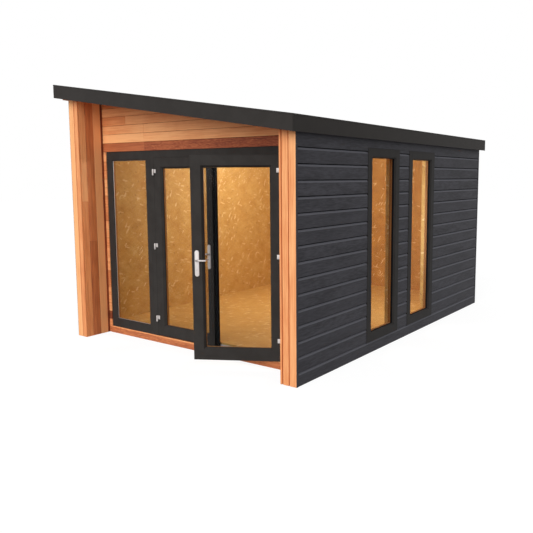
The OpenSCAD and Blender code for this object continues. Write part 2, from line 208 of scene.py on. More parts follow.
hinge_feet_low = low("frame_hinges").z
hinge_feet_high = high("left_leaf_hinges").z - HINGE_H
hinge_feet = (hinge_feet_low, (hinge_feet_low + hinge_feet_high) / 2, hinge_feet_high)

hang_left = Matrix.Translation((left_axis.x, left_axis.y, 0))
hang_right = (Matrix.Translation((right_axis.x, right_axis.y, 0))
              @ Matrix.Rotation(rest_open, 4, "Z") @ Matrix.Diagonal((-1, 1, 1, 1)))
face_along_y = Matrix.Rotation(math.pi / 2, 4, "X")


# Finishes

def shown(red, green, blue):
    """Linear colour from the red, green and blue that a screen shows, 0 to 255."""
    def linear(level):
        share = level / 255
        return share / 12.92 if share <= 0.04045 else ((share + 0.055) / 1.055) ** 2.4
    return (linear(red), linear(green), linear(blue), 1)


class Value:
    """Output of a shader node. Sums on values add Math nodes to the finish they belong to."""

    def __init__(self, finish, socket):
        self.finish = finish
        self.socket = socket

    def __add__(self, other):
        return self.finish.math("ADD", self, other)

    def __radd__(self, other):
        return self.finish.math("ADD", other, self)

    def __sub__(self, other):
        return self.finish.math("SUBTRACT", self, other)

    def __mul__(self, other):
        return self.finish.math("MULTIPLY", self, other)


class Finish:
    """Material made of shader nodes, or a node tree that is given."""

    def __init__(self, name, tree=None):
        if tree is None:
            self.material = bpy.data.materials.new(name)
            self.material.use_nodes = True
            tree = self.material.node_tree
        self.tree = tree
        self.tree.nodes.clear()

    def node(self, kind, settings=None, inputs=None, output=0):
        """Adds a shader node: its settings first, then the values or links of its sockets."""
        made = self.tree.nodes.new("ShaderNode" + kind)
        for key, setting in (settings or {}).items():
            if key == "stops":
                self.set_stops(made.color_ramp, setting)
            else:
                setattr(made, key, setting)
        for key, given in (inputs or {}).items():
            socket = self.find(made.inputs, key)
            if isinstance(given, Value):
                self.tree.links.new(given.socket, socket)
            else:
                socket.default_value = given
        return Value(self, self.find(made.outputs, output)) if made.outputs else made

    @staticmethod
    def find(sockets, key):
        if isinstance(key, int):
            return sockets[key]
        return next(socket for socket in sockets if key in (socket.identifier, socket.name))

    @staticmethod
    def set_stops(ramp, stops):
        while len(ramp.elements) < len(stops):
            ramp.elements.new(1)
        for element, (place, colour) in zip(ramp.elements, stops):
            element.position = place
            element.color = colour

    def math(self, operation, a, b):
        return self.node("Math", {"operation": operation}, {0: a, 1: b})

    def step(self, value, lowest, highest):
        """Smooth step from 0 to 1 between two bounds."""
        return self.node("MapRange", {"interpolation_type": "SMOOTHSTEP"},
                         {"Value": value, 1: lowest, 2: highest})

    def mix(self, factor, a, b):
        return self.node("Mix", {"data_type": "RGBA"},
                         {"Factor_Float": factor, "A_Color": a, "B_Color": b}, "Result_Color")

    def place(self):
        return self.node("TexCoord", output="Object")

    def attribute(self, name):
        return self.node("Attribute", {"attribute_name": name}, output="Fac")

    def stretched(self, vector, scale, turn=(0, 0, 0)):
        """Coordinates turned and then divided by a size along each axis."""
        return self.node("Mapping", {"vector_type": "TEXTURE"},
                         {"Vector": vector, "Rotation": turn, "Scale": scale})

    def noise(self, vector, scale=1.0, detail=3.0, roughness=0.5, distortion=0.0):
        return self.node("TexNoise", None,
                         {"Vector": vector, "Scale": scale, "Detail": detail,
                          "Roughness": roughness, "Distortion": distortion})

    def grain(self, vector, axis, length, width, **settings):
        """Noise in streaks of a length and width that run along an axis."""
        size = tuple(length if i == axis else width for i in range(3))
        return self.noise(self.stretched(vector, size), **settings)

    def bump(self, height, strength, distance):
        return self.node("Bump", None,
                         {"Height": height, "Strength": strength, "Distance": distance})

    def surface(self, **sockets):
        """Closes the finish with one surface shader. Its sockets are named with _ for a space."""
        named = {key.replace("_", " "): given for key, given in sockets.items()}
        shader = self.node("BsdfPrincipled", None, named)
        self.node("OutputMaterial", None, {"Surface": shader})
        return self.material


def board_place(finish):
    """Object coordinates, moved along for each board so that no two boards share their grain."""
    stretch = finish.attribute("stretch")
    shift = finish.node("CombineXYZ", None,
                        {"X": stretch * 31.0, "Y": stretch * 47.0, "Z": stretch * 23.0})
    return finish.node("VectorMath", {"operation": "ADD"}, {0: finish.place(), 1: shift})


def cedar(name, axis, figure=0.0):
    """Oiled red cedar with its grain along an axis. Each board has its own tone, and figured ones swirl."""
    finish = Finish(name)
    place = board_place(finish)
    broad = finish.grain(place, axis, 1.1, 0.028, detail=2.0, distortion=0.6)
    streak = finish.grain(place, axis, 0.28, 0.011, roughness=0.65)
    fine = finish.grain(place, axis, 0.35, 0.0045)
    cloud = finish.noise(place, 3.0, 2.0)
    swirl = finish.grain(place, axis, 0.11, 0.022, distortion=2.5)
    tone = (finish.attribute("tone") + (broad - 0.5) * 0.3 + (streak - 0.5) * 0.5 + (fine - 0.5) * 0.2
            + (cloud - 0.5) * 0.25 + (swirl - 0.5) * figure)
    colour = finish.node("ValToRGB", {"stops": [
        (0.0, shown(96, 40, 22)),
        (0.25, shown(150, 74, 42)),
        (0.5, shown(192, 110, 66)),
        (0.75, shown(230, 144, 88)),
        (1.0, shown(254, 184, 124)),
    ]}, {"Fac": tone}, "Color")
    return finish.surface(Base_Color=colour, Roughness=0.5 + fine * 0.22, Specular_IOR_Level=0.35,
                          Normal=finish.bump(fine, 0.25, 0.0006))


def dark_boards(name, axis):
    """Dark grey painted boards, with the sawn grain showing through the paint and a painted highlight that
    lightens the upper bevels, which face upward.
    """
    finish = Finish(name)
    place = board_place(finish)
    grain = finish.grain(place, axis, 0.10, 0.011, detail=4.0, roughness=0.65)
    cloud = finish.grain(place, axis, 0.5, 0.08)
    shade = finish.step(grain * 0.65 + cloud * 0.35, 0.32, 0.68)
    colour = finish.mix(shade, shown(35, 34, 38), shown(71, 70, 76))
    tinted = finish.mix(finish.attribute("tone"), shown(54, 53, 58), colour)
    # Faces that point upward, the board bevels, are lightened towards a pale grey: a painted highlight of
    # light from above.
    facing = finish.node("NewGeometry", output="Normal")
    upward = finish.node("SeparateXYZ", None, {"Vector": facing}, "Z")
    wear_and_highlight = finish.mix(finish.step(upward, 0.2, 0.45) * 0.8, tinted, shown(96, 96, 103))
    return finish.surface(Base_Color=wear_and_highlight, Roughness=0.6 + grain * 0.2, Specular_IOR_Level=0.25,
                          Normal=finish.bump(grain, 0.5, 0.0012))


def strand_board(name, across, up, tints, contrast):
    """Strand board. Two directions lie in its plane: the coordinates are read along them."""
    finish = Finish(name)
    place = finish.place()

    def along_line(line):
        return finish.node("VectorMath", {"operation": "DOT_PRODUCT"}, {0: place, 1: line}, "Value")

    flat = finish.node("CombineXYZ", None, {"X": along_line(across), "Y": along_line(up), "Z": 0.0})

    def strands(turn, length, width):
        cells = finish.stretched(flat, (length, width, 1), (0, 0, math.radians(turn)))
        flakes = finish.node("TexVoronoi", {"voronoi_dimensions": "2D"},
                             {"Vector": cells, "Scale": 1.0, "Randomness": 1.0}, "Color")
        return finish.node("SeparateColor", None, {"Color": flakes}, "Red")

    patch = finish.noise(flat, 6.0, 4.0, 0.6)
    wisp = finish.noise(flat, 55.0, 2.0)
    fibre = finish.noise(finish.stretched(flat, (0.012, 0.05, 1), (0, 0, 0.5)))
    layer = strands(24, 0.085, 0.020) * 0.5 + strands(-37, 0.100, 0.024) * 0.5
    tone = 0.5 + ((patch - 0.5) * 1.1 + (layer - 0.5) * 0.24 + (fibre - 0.5) * 0.2) * contrast
    stops = list(zip((0.0, 0.35, 0.65, 1.0), tints))
    colour = finish.node("ValToRGB", {"stops": stops}, {"Fac": tone}, "Color")
    torn = (wisp - 0.5) * 0.12
    pale = finish.step(strands(58, 0.052, 0.018) + torn, 0.960, 0.985)
    pale_too = finish.step(strands(-12, 0.058, 0.017) + torn, 0.965, 0.990)
    lit = finish.mix(pale * 0.62, colour, shown(252, 228, 172))
    lit = finish.mix(pale_too * 0.55, lit, shown(250, 224, 166))
    dark = finish.step(strands(-64, 0.020, 0.010), 0.990, 0.994)
    final = finish.mix(dark * 0.5, lit, shown(130, 80, 40))
    return finish.surface(Base_Color=final, Roughness=0.62 + layer * 0.15, Specular_IOR_Level=0.3,
                          Normal=finish.bump(layer, 0.15, 0.001))


def plain_timber(name, dark, light):
    """Plain softwood, as in the wall frames and the glazing beads."""
    finish = Finish(name)
    grain = finish.grain(finish.place(), Z, 0.6, 0.012)
    colour = finish.mix(grain, dark, light)
    return finish.surface(Base_Color=colour, Roughness=0.7, Normal=finish.bump(grain, 0.2, 0.001))


def satin_paint(name, base, raised):
    """Smooth satin coating with a faint mottle."""
    finish = Finish(name)
    place = finish.place()
    mottle = finish.noise(place, 7.0)
    peel = finish.noise(place, 900.0, 1.0)
    colour = finish.mix(finish.step(mottle, 0.35, 0.65), base, raised)
    return finish.surface(Base_Color=colour, Roughness=0.55 + (mottle - 0.5) * 0.12,
                          Specular_IOR_Level=0.06, Normal=finish.bump(peel, 0.06, 0.0003))


def rubber(name):
    """Matt black rubber of the gaskets."""
    finish = Finish(name)
    speckle = finish.noise(finish.place(), 260.0, 2.0)
    colour = finish.mix(speckle, shown(17, 17, 19), shown(28, 28, 30))
    return finish.surface(Base_Color=colour, Roughness=0.85, Specular_IOR_Level=0.02)


def roof_rubber(name):
    """Rubber roof sheet, dusty in broad patches."""
    finish = Finish(name)
    place = finish.place()
    patches = finish.noise(place, 1.6, 4.0)
    speckle = finish.noise(place, 160.0, 2.0)
    colour = finish.mix(finish.step(patches, 0.35, 0.7), shown(43, 43, 44), shown(62, 61, 60))
    dusty = finish.mix(finish.step(speckle, 0.55, 0.8) * 0.4, colour, shown(84, 82, 78))
    return finish.surface(Base_Color=dusty, Roughness=0.8, Specular_IOR_Level=0.25,
                          Normal=finish.bump(speckle, 0.2, 0.0008))


def satin_metal(name, base, wear_and_highlight, roughness):
    """Satin metal with fine brush lines."""
    finish = Finish(name)
    lines = finish.grain(finish.place(), Z, 0.03, 0.0006, detail=2.0)
    colour = finish.mix(lines, base, wear_and_highlight)
    return finish.surface(Base_Color=colour, Metallic=0.3, Roughness=roughness + lines * 0.12,
                          Normal=finish.bump(lines, 0.05, 0.0002))


def clear_glass(name):
    """Faintly tinted glass: see-through face on, with more gloss at a slant."""
    finish = Finish(name)
    slant = finish.node("LayerWeight", None, {"Blend": 0.28}, "Fresnel")
    smear = finish.noise(finish.place(), 2.0, 2.0)
    return finish.surface(Base_Color=shown(20, 22, 22), Roughness=0.02 + smear * 0.03,
                          Specular_IOR_Level=0.06, Alpha=0.23 + slant * 0.03)


cedar_up = cedar("cedar_grain_up", Z)
cedar_across = cedar("cedar_grain_across", X)
cedar_figured = cedar("cedar_figured", X, 0.7)
cedar_deep = cedar("cedar_grain_deep", Y)
boards_side = dark_boards("dark_boards_side", Y)
boards_back = dark_boards("dark_boards_back", X)
honey = (shown(172, 124, 62), shown(200, 157, 87), shown(216, 178, 106), shown(242, 212, 150))
# The end walls get a darker, more saturated copy of the side walls' strand board: painted shade and warm
# bounce light.
amber_shaded = (shown(160, 107, 47), shown(184, 132, 64), shown(200, 150, 78), shown(224, 180, 106))
strands_side = strand_board("strand_board_side", (0.55, 1, 0), (0.35, 0, 1), honey, 0.9)
strands_end = strand_board("strand_board_end", (1, 0.55, 0), (0, 0.35, 1), amber_shaded, 0.8)
strands_flat = strand_board("strand_board_flat", (1, 0, 0.55), (0, 1, 0.35), honey, 0.5)
timber = plain_timber("sawn_timber", shown(140, 90, 40), shown(166, 112, 56))
bead_timber = plain_timber("bead_timber", shown(160, 108, 52), shown(186, 132, 70))
frame_grey = satin_paint("frame_grey", shown(51, 48, 46), shown(56, 53, 51))
# Darker copy of the frame grey for the windows in the right wall: painted shade of that side.
window_grey_shaded = satin_paint("window_grey_shaded", shown(46, 44, 43), shown(51, 49, 48))
fascia_grey = satin_paint("fascia_grey", shown(52, 49, 47), shown(55, 52, 50))
gasket = rubber("gasket_rubber")
roof_sheet = roof_rubber("roof_rubber")
silver = satin_metal("satin_silver", shown(196, 190, 187), shown(212, 206, 203), 0.45)
spacer_silver = satin_metal("spacer_silver", shown(205, 208, 214), shown(230, 232, 236), 0.35)
glass = clear_glass("clear_glass")


# Shapes

def only(geom, kind):
    """The items of one kind in what an operator gives back."""
    return [item for item in geom if isinstance(item, kind)]


def round_over(bm, edges, size, segments=2):
    """Rounds edges over."""
    bmesh.ops.bevel(bm, geom=list(edges), offset=size, segments=segments, profile=0.5,
                    affect="EDGES", material=-1, clamp_overlap=True)


def box(bm, corner, opposite, edge=0.0, segments=2, skin=0):
    """Box between two opposite corners, with its edges rounded over."""
    corner, opposite = Vector(corner), Vector(opposite)
    size = (abs(length) for length in opposite - corner)
    place = Matrix.Translation((corner + opposite) / 2) @ Matrix.Diagonal((*size, 1))
    made = bmesh.ops.create_cube(bm, size=1, matrix=place)["verts"]
    for face in {f for v in made for f in v.link_faces}:
        face.material_index = skin
    if edge:
        round_over(bm, {e for v in made for e in v.link_edges}, edge, segments)


def prism(bm, outline, axis, start, end):
    """Outline across an axis, drawn out along it. Its points hold the other two coordinates."""
    others = [i for i in range(3) if i != axis]
    loop = []
    for point in outline:
        corner = Vector()
        corner[axis] = start
        corner[others[0]], corner[others[1]] = point
        loop.append(bm.verts.new(corner))
    drawn = bmesh.ops.extrude_face_region(bm, geom=[bm.faces.new(loop)])["geom"]
    shift = Vector()
    shift[axis] = end - start
    bmesh.ops.translate(bm, vec=shift, verts=only(drawn, BMVert))


def rod(bm, radius, start, end, edge, segments=32):
    """Round bar between two points, with its ends rounded over."""
    start, end = Vector(start), Vector(end)
    line = end - start
    place = Matrix.Translation((start + end) / 2) @ line.to_track_quat("Z", "Y").to_matrix().to_4x4()
    made = bmesh.ops.create_cone(bm, cap_ends=True, segments=segments, radius1=radius, radius2=radius,
                                 depth=line.length, matrix=place)["verts"]
    rims = {e for v in made for e in v.link_edges if any(len(f.verts) > 4 for f in e.link_faces)}
    round_over(bm, rims, edge)


def ring(bm, width, height, bars, outline, skin=0):
    """Outline swept round a rectangle in x and z. A point holds 0 for an inset from the outside of the bars
    or 1 for one from their inside, the inset and a depth."""
    def move(verts, point):
        inside, inset, depth = point
        left, right, bottom, top = (bar * inside + inset for bar in bars)
        for v in verts:
            v.co = (width - right if v.co.x > width / 2 else left, depth,
                    height - top if v.co.z > height / 2 else bottom)

    before = set(bm.faces)
    rectangle = ((0, 0, 0), (width, 0, 0), (width, 0, height), (0, 0, height))
    verts = [bm.verts.new(corner) for corner in rectangle]
    move(verts, outline[0])
    loop = [bm.edges.new((verts[i - 1], verts[i])) for i in range(4)]
    swept = list(verts)
    for point in outline[1:] + outline[:1]:
        drawn = bmesh.ops.extrude_edge_only(bm, edges=loop)["geom"]
        loop = only(drawn, BMEdge)
        verts = only(drawn, BMVert)
        move(verts, point)
        swept += verts
    bmesh.ops.remove_doubles(bm, verts=swept, dist=MERGE)
    for face in set(bm.faces) - before:
        face.material_index = skin


def cut_under_slope(bm, depth):
    """Cuts everything off above a plane that lies a depth under the roof's top edge."""
    everything = bm.verts[:] + bm.edges[:] + bm.faces[:]
    bmesh.ops.bisect_plane(bm, geom=everything, plane_co=(0, 0, roof_z(0) - depth), plane_no=slope_normal,
                           clear_outer=True)
    bmesh.ops.holes_fill(bm, edges=[e for e in bm.edges if e.is_boundary])


def lay_flat(bm, x, y):
    """Turns what stands in x and z down into x and y, from a corner on."""
    turn = Matrix(((1, 0, 0, x), (0, 0, 1, y), (0, -1, 0, 0), (0, 0, 0, 1)))
    bmesh.ops.transform(bm, matrix=turn, verts=bm.verts)


def lay_on_slope(bm, depth):
    """Shears flat work so that its z = 0 lies a depth under the roof's top edge."""
    shear = Matrix.Identity(4)
    shear[2][0] = -pitch
    shear[2][3] = roof_z(0) - depth
    bmesh.ops.transform(bm, matrix=shear, verts=bm.verts)


def add_object(name, data):
    """Puts a mesh, a lamp or a camera into the scene."""
    holder = bpy.data.objects.new(name, data)
    scene.collection.objects.link(holder)
    return holder


def finish_piece(name, bm, skins, nodes=(), body="building", place=None, smooth=False):
    """Makes a piece of the mesh, on a body, in the place of the nodes that it stands for."""
    if place is not None:
        bmesh.ops.transform(bm, matrix=place, verts=bm.verts)
    bmesh.ops.recalc_face_normals(bm, faces=bm.faces)
    for face in bm.faces:
        face.smooth = smooth
    mesh = bpy.data.meshes.new(name)
    bm.to_mesh(mesh)
    bm.free()
    for skin in skins:
        mesh.materials.append(skin)
    if smooth:
        mesh.set_sharp_from_angle(angle=math.radians(35))
    piece = add_object(name, mesh)
    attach(piece, body)
    if nodes:
        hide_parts(*nodes)


class Boards:
    """Boards in one mesh. Each has its own tone and its own stretch of grain."""

    def __init__(self):
        self.bm = bmesh.new()
        self.tone = self.bm.faces.layers.float.new("tone")
        self.stretch = self.bm.faces.layers.float.new("stretch")

    def mark(self, tone, skin=0):
        """Marks the faces that were made last."""
        stretch = random.random()
        for face in self.bm.faces:
            if face[self.stretch] == 0:
                face[self.tone] = tone
                face[self.stretch] = stretch
                face.material_index = skin

    def box(self, corner, opposite, tone, edge=CEDAR_EDGE, skin=0):
        box(self.bm, corner, opposite, edge, 1)
        self.mark(tone, skin)

    def prism(self, outline, axis, start, end, tone, skin=0):
        prism(self.bm, outline, axis, start, end)
        self.mark(tone, skin)

    def cut_under_slope(self, depth):
        cut_under_slope(self.bm, depth)
        for face in self.bm.faces:
            if face[self.stretch] == 0:
                beside = next(f for f in face.edges[0].link_faces if f is not face)
                face[self.tone] = beside[self.tone]
                face[self.stretch] = beside[self.stretch]


# Dark shiplap cladding

def board_outlines(foot, top, whole):
    """Outlines of one board as depth behind its face and height. A whole board is bevelled at its top, with
    a tongue that runs up behind the next one, and any other is cut off straight."""
    if not whole:
        return [[(0, foot), (0, top), (CLAD_T, top), (CLAD_T, foot)]]
    board = [
        (CLAD_CHAMFER, foot), (0, foot + CLAD_CHAMFER),
        (0, top - CLAD_BEVEL_H), (CLAD_BEVEL_D, top),
        (CLAD_T, top), (CLAD_T, foot),
    ]
    root, tip = top - MM, top + CLAD_GAP
    tongue = [(CLAD_TONGUE_D, root), (CLAD_TONGUE_D, tip), (CLAD_T, tip), (CLAD_T, root)]
    return [board, tongue]


def clad_rows(top):
    """Foot and top of every row of cladding up to a height."""
    foot, joint = 0, CLAD_FIRST_JOINT
    while foot < top:
        yield foot, min(joint, top)
        foot, joint = joint, joint + CLAD_PITCH


def row_spans(start, end, foot, top, openings):
    """Stretches of a row beside and over its openings, each with the height that it starts from."""
    spans = [(start, end, foot)]
    for open_start, open_end, open_foot, open_top in openings:
        if top <= open_foot + MM or foot >= open_top:
            continue
        pieces = []
        for a, b, z in spans:
            if a < open_start < b:
                pieces += [(a, open_start, z), (open_end, b, z)]
                if top > open_top:
                    pieces.append((open_start, open_end, open_top))
            else:
                pieces.append((a, b, z))
        spans = pieces
    return spans


def clad_wall(side, axis, outward, face_at, start, end, skin, openings=(), slope=False):
    """Wall of shiplap boards that run along an axis, cut out round its openings."""
    boards = Boards()
    node = f"{side}_cladding"
    top = high(node).z
    for foot, head in clad_rows(top):
        tone = random.uniform(*CLAD_TONES)
        whole = head < top or slope
        for a, b, z in row_spans(start, end, foot, head, openings):
            lowest = z + CLAD_GAP if z == foot > 0 else z
            # Each whole board's second outline, its tongue, takes the black rubber skin: painted shade deep
            # in the groove between boards.
            for i, shape in enumerate(board_outlines(lowest, head, whole)):
                outline = [(face_at - outward * depth, height) for depth, height in shape]
                boards.prism(outline, axis, a, b, tone, i)
    if slope:
        boards.cut_under_slope(under_roof)
    finish_piece(f"{side}_boards", boards.bm, [skin, gasket], [node])


window_openings = [(start, start + WINDOW_W, window_low.z, window_high.z) for start in window_starts]
clad_ends = (low("right_cladding").y, high("right_cladding").y)
clad_wall("right", Y, 1, right_x, *clad_ends, boards_side, window_openings)
clad_wall("left", Y, -1, left_x, *clad_ends, boards_side)
clad_wall("back", X, 1, back_y, left_x, right_x, boards_back, slope=True)


def corner_trims():
    """Thin dark trims that cover the ends of the boards at the four corners."""
    trims = Boards()
    reach = 26 * MM
    thick = 2.5 * MM
    bite = 0.5 * MM
    back_foot = 4 * MM
    edge = 0.8 * MM
    tone = 0.3
    for face_at, outward in ((left_x, -1), (right_x, 1)):
        top = roof_z(face_at) - under_roof
        inner = face_at - outward * bite
        outer = face_at + outward * thick
        trims.box((inner, front_y, 0), (outer, front_y + reach, top), tone, edge)
        trims.box((inner, back_y - reach, back_foot), (outer, back_y + thick, top), tone, edge)
    finish_piece("corner_trims", trims.bm, [boards_side])


corner_trims()


# Cedar front

def upright_fin(node, inner_face, outward, fronts, inner_boards):
    """Fin of upright boards on a core: boards across its front, and boards of two lengths along its inner
    face, each with the height of its joint and the tones below and above it."""
    fin = Boards()
    core_tone = 0.4
    lo, hi = corners(node)
    top = hi.z + CUT_SPARE
    core_inner = inner_face - outward * CORE_BACK
    core_outer = (lo.x if outward > 0 else hi.x) + outward * (CLAD_T + CORE_CLEAR)
    fin.box((core_inner, lo.y + CORE_BACK, 0), (core_outer, hi.y, top), core_tone, 0)
    for start, end, tone in fronts:
        fin.box((start, lo.y, 0), (end, lo.y + CEDAR_T, top), tone)
    steps = (lo.y + CEDAR_T, *FIN_JOINTS, wall_y)
    behind = inner_face - outward * CEDAR_T
    for start, end, (joint, lower, upper) in zip(steps, steps[1:], inner_boards):
        front, rear = start + CEDAR_GROOVE / 2, end - CEDAR_GROOVE / 2
        for foot, head, tone in ((0, joint, lower), (joint + END_GAP, top, upper)):
            fin.box((inner_face, front, foot), (behind, rear, head), tone)
    fin.cut_under_slope(under_roof)
    finish_piece(f"{node}_boards", fin.bm, [cedar_up], [node])


# The last inner board of each fin, in the corner by the wall, is very dark: dark cedar, darkened further as
# painted shade of that corner.
upright_fin("left_fin", fin_l, 1, (
    (left_x, -1519 * MM, 1.0), (-1510 * MM, fin_l, 0.78),
), (
    (1580 * MM, 0.78, 0.98), (1120 * MM, 0.52, 0.62), (1900 * MM, 1.02, 1.06), (2200 * MM, 0.14, 0.12),
))
upright_fin("right_fin", fin_r, -1, (
    (fin_r, 1437 * MM, 0.82), (1450 * MM, 1514 * MM, 0.84), (1524 * MM, right_x, 0.9),
), (
    (1300 * MM, 0.5, 0.62), (1750 * MM, 0.3, 0.42), (900 * MM, 0.55, 0.66), (2200 * MM, 0.1, 0.12),
))


def header():
    """Level cedar boards over the door set, some of them in two lengths. A row holds the end of each length
    and its tone, from the bottom row up."""
    rows = (
        ((-718 * MM, 0.42), (fin_r, 0.26)),
        ((-724 * MM, 1.02), (fin_r, 0.92)),
        ((-722 * MM, 0.9), (fin_r, 0.95)),
        ((-1034 * MM, 0.7), (fin_r, 0.88)),
        ((fin_r, 0.94),),
        ((fin_r, 0.7),),
        ((fin_r, 0.8),),
    )
    boards = Boards()
    lo, hi = corners("front_header")
    skin_y = wall_y + CEDAR_T
    boards.box((lo.x, skin_y - CORE_LAP, lo.z), (hi.x, hi.y, hi.z + CUT_SPARE), CORE_TONE, 0)
    for i, row in enumerate(rows):
        start = fin_l
        foot = set_top + i * CEDAR_ROW
        for end, tone in row:
            corner = (end, skin_y, foot + CEDAR_ROW - CEDAR_GROOVE)
            boards.box((start, wall_y, foot), corner, tone, skin=1 if tone < FIGURED_BELOW else 0)
            start = end + MM
    boards.cut_under_slope(under_roof)
    finish_piece("header_boards", boards.bm, [cedar_across, cedar_figured], ["front_header"])


header()


def strip(node, start, end):
    """Short level boards beside the door set, on a core that runs in behind the fin. The second is dark."""
    boards = Boards()
    lo, hi = corners(node)
    skin_y = wall_y + CEDAR_T
    boards.box((lo.x, skin_y - CORE_LAP, lo.z), hi, CORE_TONE, 0)
    foot, joint = lo.z, STRIP_FIRST_JOINT
    row = 0
    while foot < hi.z - MM:
        tone = 0.14 if row == 1 else random.choice(STRIP_TONES)
        stop = min(joint, hi.z)
        boards.box((start, wall_y, foot), (end, skin_y, stop - CEDAR_GROOVE), tone)
        foot, joint = stop, joint + CEDAR_ROW
        row += 1
    finish_piece(f"{node}_boards", boards.bm, [cedar_across], [node])


strip("left_strip", fin_l, high("left_strip").x)
strip("right_strip", low("right_strip").x, fin_r)


def sill():
    """Cedar sill with a chamfered front edge, whose faces get a lighter tone than the rest: a painted
    highlight on the chamfer.
    """
    chamfer = 9 * MM
    tone, lit_chamfer_tone = 0.5, 0.85
    lo, hi = corners("sill_plate")
    board = Boards()
    outline = [(lo.y, lo.z), (hi.y, lo.z), (hi.y, hi.z), (lo.y + chamfer, hi.z), (lo.y, hi.z - chamfer)]
    board.prism(outline, X, lo.x, hi.x, tone)
    # The chamfer faces take the lighter tone: painted highlight.
    for face in board.bm.faces:
        if all(v.co.y <= lo.y + chamfer and v.co.z >= hi.z - chamfer - MM for v in face.verts):
            face[board.tone] = lit_chamfer_tone
    finish_piece("sill_board", board.bm, [cedar_figured], ["sill_plate"])


sill()


# Roof edge and soffits

def soffit_run(boards, x, y, axis, drop=0.0, row=SOFFIT_ROW):
    """Flat soffit boards over an area, in rows that run along an axis."""
    across = (y, x)[axis]
    count = max(1, round((across[1] - across[0]) / row))
    width = (across[1] - across[0]) / count
    for i in range(count):
        start = across[0] + i * width
        span = (start + CEDAR_GROOVE / 2, start + width - CEDAR_GROOVE / 2)
        xs, ys = (x, span) if axis == X else (span, y)
        tone = random.uniform(*SOFFIT_TONES)
        boards.box((xs[0], ys[0], -drop - SOFFIT_T), (xs[1], ys[1], -drop), tone)


def soffits():
    """Cedar boards under the porch roof and under the other eaves. On the left they lie under the fascia,
    and short boards close the box above them."""
    back_end = roof_b - FASCIA_T
    box_tone = 0.5
    porch = Boards()
    soffit_run(porch, (roof_l + FASCIA_T, roof_r - FASCIA_T), (roof_f + FASCIA_T, front_y), X)
    soffit_run(porch, (fin_l, fin_r), (front_y, wall_y), X)
    lay_on_slope(porch.bm, under_roof)
    finish_piece("porch_soffit_boards", porch.bm, [cedar_across], ["porch_soffit"])
    eaves = Boards()
    drop = FASCIA_H + SEAT_GAP - under_roof
    soffit_run(eaves, (roof_l, left_x), (front_y, back_end), Y, drop, EAVES_ROW)
    eaves.box((roof_l + FASCIA_T, front_y, -drop), (left_x, front_y + SOFFIT_T, -SOFFIT_T), box_tone)
    eaves.box((left_x - SOFFIT_T, back_y, -drop), (left_x, back_end, 0), box_tone)
    soffit_run(eaves, (right_x, roof_r - FASCIA_T), (front_y, back_end), Y)
    soffit_run(eaves, (left_x, right_x), (back_y, back_end), X)
    lay_on_slope(eaves.bm, under_roof)
    finish_piece("eaves_soffit_boards", eaves.bm, [cedar_deep], ["eaves_soffits"])


soffits()


def fascias():
    """Four fascia boards under the kerb, with eased edges."""
    runs = (
        ("front", (roof_l, roof_f), (roof_r, roof_f + FASCIA_T)),
        ("back", (roof_l, roof_b - FASCIA_T), (roof_r, roof_b)),
        ("left", (roof_l, roof_f + FASCIA_T), (roof_l + FASCIA_T, roof_b - FASCIA_T)),
        ("right", (roof_r - FASCIA_T, roof_f + FASCIA_T), (roof_r, roof_b - FASCIA_T)),
    )
    for side, lo, hi in runs:
        bm = bmesh.new()
        box(bm, (*lo, -FASCIA_H), (*hi, -KERB_H), FASCIA_EDGE)
        lay_on_slope(bm, 0)
        finish_piece(f"{side}_fascia_board", bm, [fascia_grey], [f"{side}_fascia"])


fascias()


def kerb():
    """Folded trim round the roof edge, with a shadow line over the fascias."""
    bm = bmesh.new()
    line = 2 * MM
    fold = 3 * MM
    ring(bm, roof_r - roof_l, roof_b - roof_f, (FASCIA_T,) * 4, [
        (0, 0, fold), (0, fold, 0),
        (1, -fold, 0), (1, 0, fold),
        (1, 0, KERB_H), (0, line, KERB_H),
        (0, line, KERB_H - fold), (0, 0, KERB_H - fold - line),
    ])
    lay_flat(bm, roof_l, roof_f)
    lay_on_slope(bm, 0)
    finish_piece("kerb_trim", bm, [fascia_grey], ["roof_kerb"])


kerb()


def roof_laps():
    """Fillet of the roof sheet along the kerb, and its lapped seams."""
    bm = bmesh.new()
    left, right = roof_l + FASCIA_T, roof_r - FASCIA_T
    front, back = roof_f + FASCIA_T, roof_b - FASCIA_T
    fillet = 7 * MM
    ring(bm, right - left, back - front, (fillet,) * 4, [(0, 0, -fillet), (1, 0, 0), (0, 0, 0)])
    lay_flat(bm, left, front)
    sheets = 4
    lap = 60 * MM
    lap_t = 1.6 * MM
    lap_edge = 0.6 * MM
    for i in range(1, sheets):
        middle = front + i * (back - front) / sheets
        box(bm, (left, middle - lap / 2, 0), (right, middle + lap / 2, lap_t), lap_edge, 1)
    lay_on_slope(bm, roof_high - high("roof_panel").z - FASCIA_T * pitch)
    finish_piece("roof_laps", bm, [roof_sheet])


roof_laps()


# Door set and windows

def sash(bm, width, height, bars, depth, recess, slope):
    """Glazed frame with its outer face on y = 0 and its lower left corner at the origin. Its bars are eased
    and slope to the glass, rubber lines the step down to the glass, and a bead holds it from the inside."""
    edge = FRAME_EDGE
    rim = BEAD_W
    line = 1.5 * MM
    lip = 3 * MM
    play = 0.5 * MM
    back = recess + GLASS_T
    slope_start, slope_d = slope
    ring(bm, width, height, bars, [
        (0, 0, edge), (0, edge, 0),
        (1, slope_start, 0), (1, rim, slope_d),
        (1, rim - lip, slope_d + play), (1, 0, back),
        (1, 0, depth - line), (1, -line, depth),
        (0, edge, depth), (0, 0, depth - edge),
    ])
    ring(bm, width, height, bars, [
        (1, rim - lip, slope_d + play), (1, rim, slope_d + play),
        (1, rim + play, recess), (1, rim - lip, recess),
    ], 1)
    ring(bm, width, height, bars, [
        (1, play, back), (1, rim, back), (1, rim - edge, depth),
        (1, play + line, depth), (1, play, depth - line),
    ], 2)


